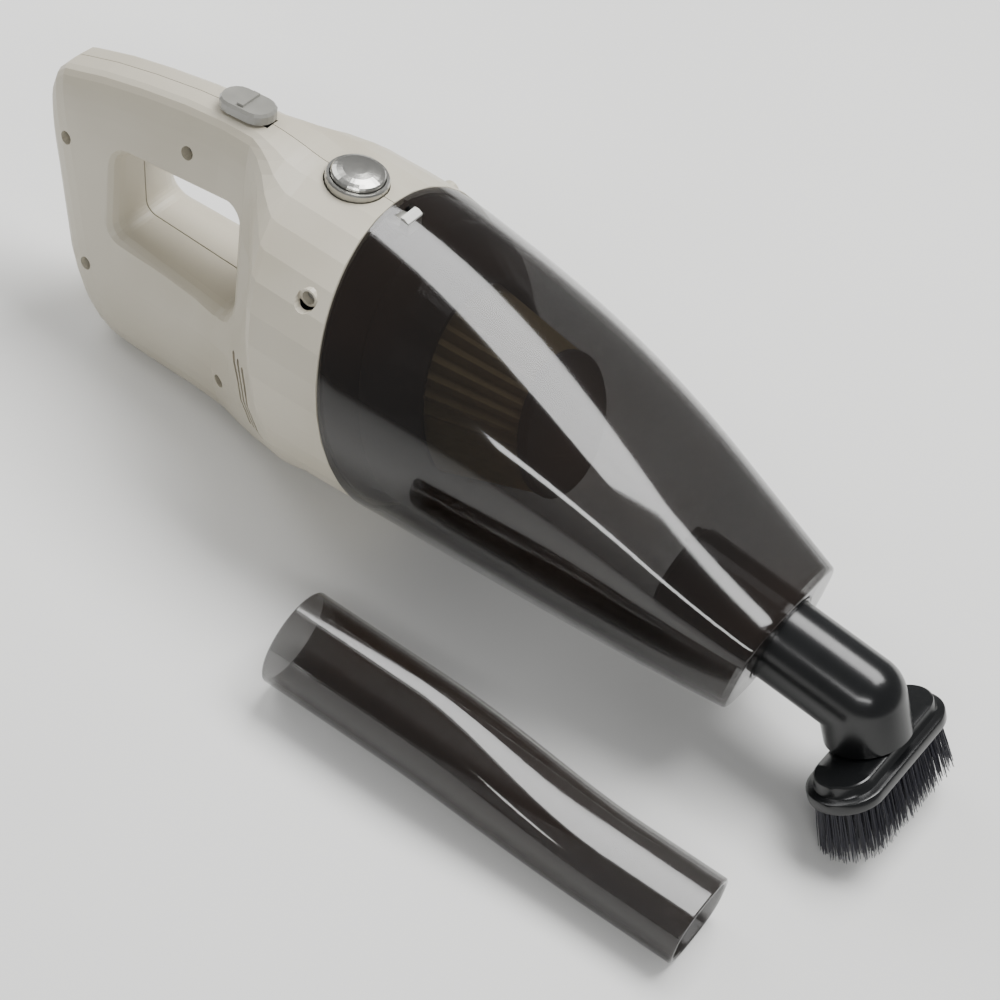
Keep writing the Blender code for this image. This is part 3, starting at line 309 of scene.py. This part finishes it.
def cutAway(bm, cutters):   # the mesh with closed cutter meshes taken out of it
    helpers = []
    for source in [bm, *cutters]:
        bmesh.ops.recalc_face_normals(source, faces=source.faces[:])
        mesh = bpy.data.meshes.new("cutting")
        source.to_mesh(mesh)
        source.free()
        helper = bpy.data.objects.new("cutting", mesh)
        bpy.context.scene.collection.objects.link(helper)
        helpers.append(helper)
    base = helpers[0]
    for cutter in helpers[1:]:
        modifier = base.modifiers.new("cut", "BOOLEAN")
        modifier.operation = "DIFFERENCE"
        modifier.solver = "EXACT"
        modifier.object = cutter
    shape = base.evaluated_get(bpy.context.evaluated_depsgraph_get())
    result = bmesh.new()
    result.from_mesh(shape.to_mesh())
    shape.to_mesh_clear()
    for helper in helpers:
        mesh = helper.data
        bpy.data.objects.remove(helper)
        bpy.data.meshes.remove(mesh)
    return result


def boxMesh(low, high):   # corners in millimetres
    bm = bmesh.new()
    middle = (Vector(low) + Vector(high)) / 2 * mm
    size = (Vector(high) - Vector(low)) * mm
    bmesh.ops.create_cube(bm, size=1.0, matrix=Matrix.Translation(middle) @ Matrix.Diagonal((*size, 1)))
    return bm


def superEllipse(angle, squareness):
    c, s = math.cos(angle), math.sin(angle)
    power = 2 / squareness
    return math.copysign(abs(c) ** power, c), math.copysign(abs(s) ** power, s)


def smoothStep(value):
    value = min(1.0, max(0.0, value))
    return value * value * (3 - 2 * value)


def stadium(length, width, steps=14):
    radius = width / 2
    straight = length / 2 - radius
    points = []
    for side in (1, -1):
        for step in range(steps + 1):
            angle = -math.pi / 2 + math.pi * step / steps
            points.append((side * (straight + radius * math.cos(angle)), side * radius * math.sin(angle)))
    return points


dustCup = {
    "belly": -55 * mm, "lean": 0.25, "nose": 152 * mm, "wall": 2.0 * mm, "ringPoints": 128,
    "top": (51.8, -0.27, -0.00158), "width": (55.0, -0.085, -0.00052),   # polynomials in millimetres
    "drop": 5.5 * mm, "dropStart": 40 * mm,
    "squareness": 1.6, "rim": 1.0 * mm, "boreRadius": 16.9 * mm, "tubeHeight": -41.4 * mm,
    "droop": math.radians(12), "leanStart": 90 * mm, "lip": 5 * mm, "lipStart": 110 * mm,
    "edge": 0.25 * mm, "clearance": 0.15 * mm, "stations": 56, "frontWall": 2.6 * mm,
    "latchSlot": ((-8.6, -4.6, 44), (-4.4, 4.6, 64)), "latchGroove": ((-22, -4.6, 44), (-8, 4.6, 54.25)),
}
nosePoint = Vector((dustCup["nose"], 0, dustCup["tubeHeight"]))
droopTurn = Matrix.Rotation(dustCup["droop"], 4, "Y")
toNozzle = Matrix.Translation(nosePoint) @ droopTurn @ Matrix.Translation(-nosePoint)   # tube and sleeve


def cupPoint(station, angle, inset=0.0):
    cup = dustCup
    lean = cup["lean"] * max(0.0, 1 - station / (70 * mm))   # leans like the joint, upright by 70 mm
    noseLength = cup["nose"] - cup["leanStart"]
    tip = math.tan(cup["droop"]) * smoothStep((station - cup["leanStart"]) / noseLength)
    x = station
    for _ in range(8):
        along = x / mm
        top = (cup["top"][0] + cup["top"][1] * along + cup["top"][2] * along ** 2) * mm
        top += cup["lip"] * max(0.0, (x - cup["lipStart"]) / (cup["nose"] - cup["lipStart"])) ** 2
        fall = max(0.0, (x - cup["dropStart"]) / (cup["nose"] - cup["dropStart"]))
        belly = cup["belly"] - cup["drop"] * fall ** 2
        width = (cup["width"][0] + cup["width"][1] * max(0.0, along) + cup["width"][2] * along ** 2) * mm
        square = 2 + cup["squareness"] * max(0.0, x / cup["nose"]) ** 1.5
        across, up = superEllipse(angle, square)
        z = (top + belly) / 2 + ((top - belly) / 2 - inset) * up
        x = station - lean * z + tip * (z - cup["tubeHeight"])
    return Vector((x, (width - inset) * across, z))


def cupRing(station, inset=0.0):
    count = dustCup["ringPoints"]
    return [cupPoint(station, 2 * math.pi * i / count, inset) for i in range(count)]


def boreRing(x, radius):
    count = dustCup["ringPoints"]
    return [toNozzle @ Vector((x, radius * math.cos(a), dustCup["tubeHeight"] + radius * math.sin(a)))
            for a in (2 * math.pi * i / count for i in range(count))]


def buildDustCup():
    cup = dustCup
    nose, rim, wall, radius = cup["nose"], cup["rim"], cup["wall"], cup["boreRadius"]
    start, edge, count = cup["clearance"], cup["edge"], cup["stations"]
    stations = [start + (nose - rim - start) * i / count for i in range(count + 1)]
    outer = [cupRing(start, edge), cupRing(start + edge)] + [cupRing(s) for s in stations[1:]]
    corner = [(nose - rim + rim * math.sin(a), rim * (1 - math.cos(a)))
              for a in (math.pi / 2 * i / 5 for i in range(1, 6))]
    outer += [cupRing(x, inset) for x, inset in corner]
    face = cupRing(nose, rim)
    bore = boreRing(nose, radius + 0.5 * mm)
    outer += [[a.lerp(b, share) for a, b in zip(face, bore)] for share in (0.35, 0.7)]
    innerEnd = nose - cup["frontWall"]
    innerBore = boreRing(innerEnd, radius)
    outer += [bore, boreRing(nose - 0.5 * mm, radius), innerBore]
    innerFace = cupRing(innerEnd, wall)
    inner = [[a.lerp(b, share) for a, b in zip(innerBore, innerFace)] for share in (0.5, 1.0)]
    inner += [cupRing(innerEnd - 1.4 * mm, wall)]
    inner += [cupRing(s, wall) for s in reversed(stations[:-1])]
    bm = bmesh.new()
    loftRings(bm, outer + inner, closed=True)
    cutters = [boxMesh(*cup["latchSlot"]), boxMesh(*cup["latchGroove"])]
    addPiece("dust_cup_shell", cutAway(bm, cutters), "smoked_plastic", "cup", ["dust_cup"], 32)


buildDustCup()
print("dust cup built")


brush = {
    "radius": 15.1 * mm, "wall": 2 * mm, "start": 124 * mm, "ring": 134 * mm, "grooveDepth": 1.1 * mm,
    "corner": 185 * mm, "bend": math.radians(57), "down": 14.5 * mm, "steps": 72, "forward": 2 * mm,
    "plateLength": 67 * mm, "plateWidth": 27 * mm, "plateHeight": 9 * mm, "bristleLength": 19 * mm,
    "rowShares": (0.0, 0.3, 0.62, 1.0), "tuftGap": 2.7 * mm, "filaments": 9, "filamentRadius": 0.17 * mm,
    "gap": 0.3 * mm, "firstRow": 3.0 * mm, "rowDepth": 6.0 * mm, "tuftRadius": 0.75 * mm,
}
elbowCorner = Vector((brush["corner"], 0, dustCup["tubeHeight"]))
plateProfile = (   # height below the tube's end, inset from the outline, both in millimetres
    (0, 9.0), (0, 3.9), (0.35, 3.4), (1.0, 3.24), (3.2, 3.2), (4.1, 2.6), (4.5, 1.2), (4.6, 0.6),
    (4.8, 0.2), (5.2, 0.0), (8.2, 0.0), (8.7, 0.2), (9.0, 0.7),
)


def tubeRing(distance, radius, angle=0.0):
    along = Vector((math.cos(angle), 0, -math.sin(angle)))
    outward = Vector((math.sin(angle), 0, math.cos(angle)))
    ring = []
    for i in range(brush["steps"]):
        a = 2 * math.pi * i / brush["steps"]
        spoke = outward * math.sin(a) + Vector((0, math.cos(a), 0))
        ring.append(elbowCorner + along * distance + spoke * radius)
    return ring


def cornerRings(radius, count=14):
    mitre = math.tan(brush["bend"] / 2)
    rings = []
    for step in range(count + 1):
        ring = tubeRing(0, radius, brush["bend"] * step / count)
        for i in range(brush["steps"]):
            a = 2 * math.pi * i / brush["steps"]
            rise = radius * math.sin(a)
            if rise < 0:   # inside of the corner, where the two tubes meet on one curve
                ring[i] = elbowCorner + Vector((rise * mitre, radius * math.cos(a), rise))
        rings.append(ring)
    return rings


def buildElbow():
    r = brush["radius"]
    ring, bend, down = brush["ring"], brush["bend"], brush["down"]
    groove = r - brush["grooveDepth"]
    level = [(brush["start"], r - 1.3 * mm), (brush["start"] + 1.5 * mm, r), (ring - 1.3 * mm, r),
             (ring - 1.2 * mm, r - 0.1 * mm), (ring - 1.2 * mm, groove), (ring + 1.2 * mm, groove),
             (ring + 1.2 * mm, r - 0.1 * mm), (ring + 1.3 * mm, r), (brush["corner"] - 14 * mm, r)]
    outside = [tubeRing(x - brush["corner"], radius) for x, radius in level] + cornerRings(r)
    outside += [tubeRing(down - 0.4 * mm, r, bend), tubeRing(down, r - 0.4 * mm, bend)]
    bore = r - brush["wall"]
    inside = [tubeRing(brush["start"] - brush["corner"], bore)] + cornerRings(bore)
    inside.append(tubeRing(down, bore, bend))
    bm = bmesh.new()
    loftRings(bm, outside + inside[::-1], closed=True)
    bmesh.ops.remove_doubles(bm, verts=bm.verts, dist=1e-6)
    bm.transform(toNozzle)
    addPiece("brush_elbow_tube", bm, "black_plastic", "brush", ["brush_elbow"], 40)


def brushPlace():
    direction = Vector((math.cos(brush["bend"]), 0, -math.sin(brush["bend"])))
    centre = elbowCorner + direction * brush["down"]
    turn = Matrix.Rotation(brush["bend"] - math.pi / 2, 4, "Y")
    return centre, direction, turn @ Matrix.Translation((brush["forward"], 0, 0))


def buildPlate():
    centre, direction, turn = brushPlace()
    seat = toNozzle @ Matrix.Translation(centre + direction * brush["gap"]) @ turn
    rings = []
    for depth, inset in plateProfile:
        outline = stadium(brush["plateLength"] - 2 * inset * mm, brush["plateWidth"] - 2 * inset * mm, 24)
        rings.append([seat @ Vector((b, a, -depth * mm)) for a, b in outline])
    bm = bmesh.new()
    loops = loftRings(bm, rings)
    bm.faces.new(loops[0])
    bm.faces.new(list(reversed(loops[-1])))
    addPiece("brush_plate_body", bm, "black_plastic", "brush", ["brush_plate"], 35)


def addFilament(bm, root, tip, radius):   # four-sided, bowed a little, tapering to its tip
    along = (tip - root).normalized()
    side = along.cross(Vector((0.3, 1, 0.2))).normalized()
    other = along.cross(side)
    middle = root.lerp(tip, 0.55) + side * radius * random.uniform(-2.5, 2.5)
    rings = []
    for centre, r in ((root, radius), (middle, radius * 0.95), (tip, radius * 0.6)):
        rings.append([bm.verts.new(centre + side * r * math.cos(a) + other * r * math.sin(a))
                      for a in (math.pi / 2 * k for k in range(4))])
    for near, far in zip(rings, rings[1:]):
        for i in range(4):
            j = (i + 1) % 4
            bm.faces.new((near[i], near[j], far[j], far[i]))
    bm.faces.new(rings[-1])
    bm.faces.new(list(reversed(rings[0])))


def buildBristles():
    random.seed(11)
    centre, direction, turn = brushPlace()
    below = brush["plateHeight"] + 2 * brush["gap"]
    base = toNozzle @ Matrix.Translation(centre + direction * below) @ turn
    bm = bmesh.new()
    length = brush["bristleLength"]
    for share in brush["rowShares"]:
        inset = brush["firstRow"] + share * brush["rowDepth"]
        outline = stadium(brush["plateLength"] - 2 * inset, brush["plateWidth"] - 2 * inset, 40)
        closed = outline + outline[:1]
        perimeter = sum(math.dist(a, b) for a, b in zip(closed, closed[1:]))
        count = int(perimeter / brush["tuftGap"])
        wanted, walked, tufts = 0.0, 0.0, []
        for a, b in zip(closed, closed[1:]):
            step = math.dist(a, b)
            while step and walked + step >= wanted and len(tufts) < count:
                t = (wanted - walked) / step
                tufts.append((a[0] + (b[0] - a[0]) * t, a[1] + (b[1] - a[1]) * t))
                wanted += perimeter / count
            walked += step
        for u, v in tufts:
            flare = 1 + 1.0 * mm / (brush["plateWidth"] / 2) * (1 - share)
            for _ in range(brush["filaments"]):
                angle = random.uniform(0, 2 * math.pi)
                r = brush["tuftRadius"] * math.sqrt(random.random())
                du, dv = r * math.cos(angle), r * math.sin(angle)
                root = Vector((v + dv, u + du, 0.2 * mm))
                reach = length * random.uniform(0.965, 0.995)
                tip = Vector(((v + dv * 1.7) * flare, (u + du * 1.7) * flare, -reach))
                addFilament(bm, base @ root, base @ tip, brush["filamentRadius"])
    addPiece("bristle_tufts", bm, "bristle_nylon", "brush", ["brush_bristles"], 60)


buildElbow()
buildPlate()
buildBristles()
print("brush built")


nozzle = {
    "length": 162 * mm, "radius": 17.35 * mm, "wall": 1.8 * mm, "yaw": math.radians(1.5), "ringPoints": 96,
    "stations": 60, "flatten": 5.5 * mm, "widen": -1.0 * mm, "edge": 0.5 * mm,
}


def nozzleRing(share, inset=0.0):
    flat = smoothStep((share - 0.30) / 0.5)
    wide = nozzle["radius"] + nozzle["widen"] * flat - inset
    high = nozzle["radius"] - nozzle["flatten"] * flat - inset
    square = 2 + 0.9 * flat
    ring = []
    for i in range(nozzle["ringPoints"]):
        across, up = superEllipse(2 * math.pi * i / nozzle["ringPoints"], square)
        ring.append(Vector((nozzle["length"] * share, wide * across, high * up - nozzle["flatten"] * flat)))
    return ring


def buildCreviceNozzle():
    low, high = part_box("crevice_nozzle")
    count = nozzle["stations"]
    edge = nozzle["edge"] / nozzle["length"]
    shares = [edge + (1 - 2 * edge) * i / count for i in range(count + 1)]
    wall, bevel = nozzle["wall"], nozzle["edge"]
    rings = [nozzleRing(0, bevel)] + [nozzleRing(s) for s in shares] + [nozzleRing(1, bevel)]
    rings += [nozzleRing(1, wall - bevel)] + [nozzleRing(s, wall) for s in reversed(shares)]
    rings += [nozzleRing(0, wall - bevel)]
    bm = bmesh.new()
    loftRings(bm, rings, closed=True)
    turn = Matrix.Rotation(nozzle["yaw"], 4, "Z")
    reach = max((turn @ v.co).x for v in bm.verts), min((turn @ v.co).y for v in bm.verts)
    place = Vector((high.x - reach[0], low.y - reach[1], low.z + nozzle["radius"]))
    bm.transform(Matrix.Translation(place) @ turn)
    addPiece("crevice_nozzle_tube", bm, "smoked_plastic", "crevice", ["crevice_nozzle"], 40, local=False)


buildCreviceNozzle()
print("crevice nozzle built")


studio = {
    "floorSize": 6.0, "lens": 106.3, "camera": (424.1, -658.3, 631.1),   # millimetres, the vacuum's own axes
    "right": (0.8188, 0.5675, 0.0866), "up": (-0.4327, 0.5109, 0.7428), "back": (0.3773, -0.6456, 0.6639),
    "surround": "#f4f5f6", "surroundStrength": 0.28,
}
lights = {   # place, aim, size in metres, then watts
    "overhead_softbox": ((0.1, 0.55, 1.3), (0, 0, 0.03), (1.1, 0.7), 30),
    "side_strip": ((0.5, -0.9, 0.9), (0.05, 0, 0.05), (0.9, 0.12), 5),
    "rear_fill": ((-0.9, 0.2, 0.7), (0, 0, 0.05), (0.7, 0.7), 5),
}


def studioPaper():
    mat, tree, shader, coords = startMaterial("seamless background paper")
    tone = noise(tree, coords, 400 * mm, 2.0)
    fibre = noise(tree, coords, 1.5 * mm, 3.0)
    tree.links.new(blendColours(tree, tone, "#e9e9e7", "#f0f0ee"), shader.inputs["Base Color"])
    tree.links.new(bump(tree, fibre, 0.02 * mm), shader.inputs["Normal"])
    shader.inputs["Roughness"].default_value = 0.85
    return mat


def addFloor():
    bm = bmesh.new()
    bmesh.ops.create_grid(bm, x_segments=2, y_segments=2, size=studio["floorSize"])
    mesh = bpy.data.meshes.new("studio_floor")
    bm.to_mesh(mesh)
    bm.free()
    mesh.materials.append(studioPaper())
    floor = bpy.data.objects.new("studio_floor", mesh)
    floor.location.z = cadBounds[0][2]
    bpy.context.scene.collection.objects.link(floor)


def addArea(name, place, aim, size, power):
    light = bpy.data.lights.new(name, "AREA")
    light.shape = "RECTANGLE"
    light.size, light.size_y = size
    light.energy = power
    lamp = bpy.data.objects.new(name, light)
    lamp.location = place
    lamp.rotation_euler = (Vector(aim) - Vector(place)).to_track_quat("-Z", "Y").to_euler()
    bpy.context.scene.collection.objects.link(lamp)


def addCamera():
    data = bpy.data.cameras.new("studio_camera")
    data.lens = studio["lens"]
    data.sensor_width = 36
    data.clip_end = 50
    camera = bpy.data.objects.new("studio_camera", data)
    axes = [(toWorld.to_3x3() @ Vector(studio[key])).normalized() for key in ("right", "up", "back")]
    turn = Matrix((axes[0], axes[1], axes[2])).transposed().to_4x4()
    camera.matrix_world = Matrix.Translation(toWorld @ (Vector(studio["camera"]) * mm)) @ turn
    bpy.context.scene.collection.objects.link(camera)
    bpy.context.scene.camera = camera


def addSurround():
    world = bpy.data.worlds.new("studio_world")
    world.use_nodes = True
    background = world.node_tree.nodes["Background"]
    background.inputs["Color"].default_value = toLinear(studio["surround"])
    background.inputs["Strength"].default_value = studio["surroundStrength"]
    bpy.context.scene.world = world


addFloor()
for name, settings in lights.items():
    addArea(name, *settings)
addSurround()
addCamera()
print("studio set")
